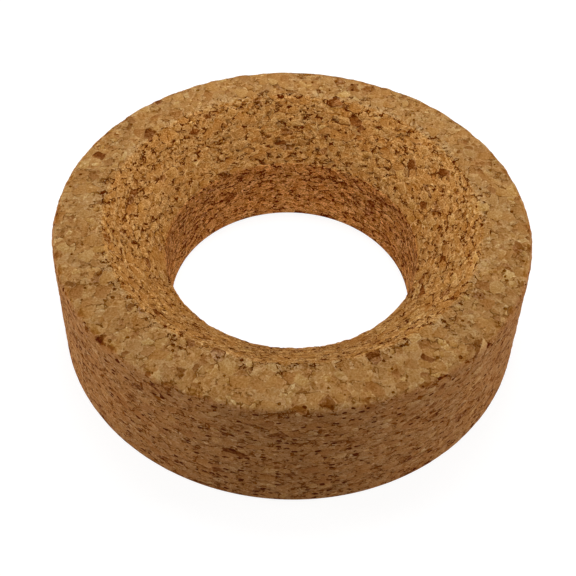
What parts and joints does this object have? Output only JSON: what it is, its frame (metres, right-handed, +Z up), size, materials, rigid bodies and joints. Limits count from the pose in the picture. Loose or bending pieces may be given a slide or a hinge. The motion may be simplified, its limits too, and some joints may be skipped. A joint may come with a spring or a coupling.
{
  "type": "cork ring",
  "caption": "Round cork stand for the lab bench: a sloping seat runs into a straight hole, so that a round-bottomed flask sits in it upright.",
  "frame": {"origin": "centre of the flat base, on the surface that the ring stands on", "axes": "+Z up along the bore's axis, from the base to the mouth of the seat; the ring looks the same along +X and +Y"},
  "size_m": [0.11, 0.11, 0.0305],
  "materials": {
    "cork": "bare granulated cork, matt and fine-pored, with pale, tan and dark brown granules"
  },
  "bodies": {
    "root": {"cork_ring": "cork"}
  },
  "joints": []
}
